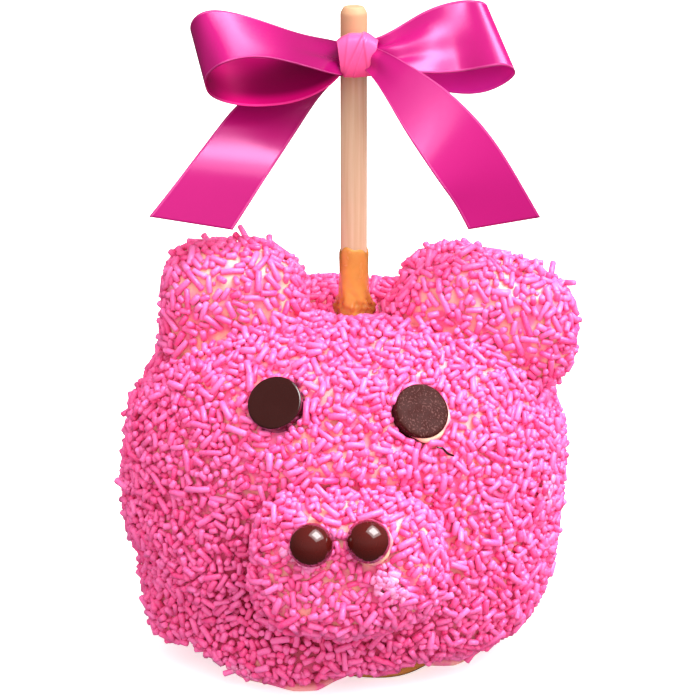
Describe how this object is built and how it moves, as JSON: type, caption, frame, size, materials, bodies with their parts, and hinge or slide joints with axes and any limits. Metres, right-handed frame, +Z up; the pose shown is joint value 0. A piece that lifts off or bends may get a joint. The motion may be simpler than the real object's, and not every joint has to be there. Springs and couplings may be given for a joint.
{
  "type": "toffee apple",
  "caption": "Coated fruit on a wooden stick, dressed as a pig with marshmallow ears and snout, chocolate eyes and nostrils, sugar strands and a ribbon bow.",
  "frame": {"origin": "middle of the flat underside that it stands on", "axes": "+Z up along the stick, the face looks along -Y, +X to the viewer's right"},
  "size_m": [0.109, 0.1225, 0.1557],
  "materials": {
    "sugar_strands": "satin pink sugar strands over a cream coating",
    "dark_chocolate": "polished dark chocolate",
    "caramel": "clear amber caramel, soft gloss",
    "stick_wood": "sanded bare wood",
    "ribbon": "magenta satin with woven edges"
  },
  "bodies": {
    "root": {"head": "sugar_strands", "ear_left": "sugar_strands", "ear_right": "sugar_strands", "snout": "sugar_strands", "eye_left": "dark_chocolate", "eye_right": "dark_chocolate", "nostril_left": "dark_chocolate", "nostril_right": "dark_chocolate", "stick": "stick_wood", "caramel_collar": "caramel", "caramel_foot": "caramel", "bow_knot": "ribbon", "bow_loop_left": "ribbon", "bow_loop_right": "ribbon", "bow_tail_left": "ribbon", "bow_tail_right": "ribbon"}
  },
  "joints": []
}
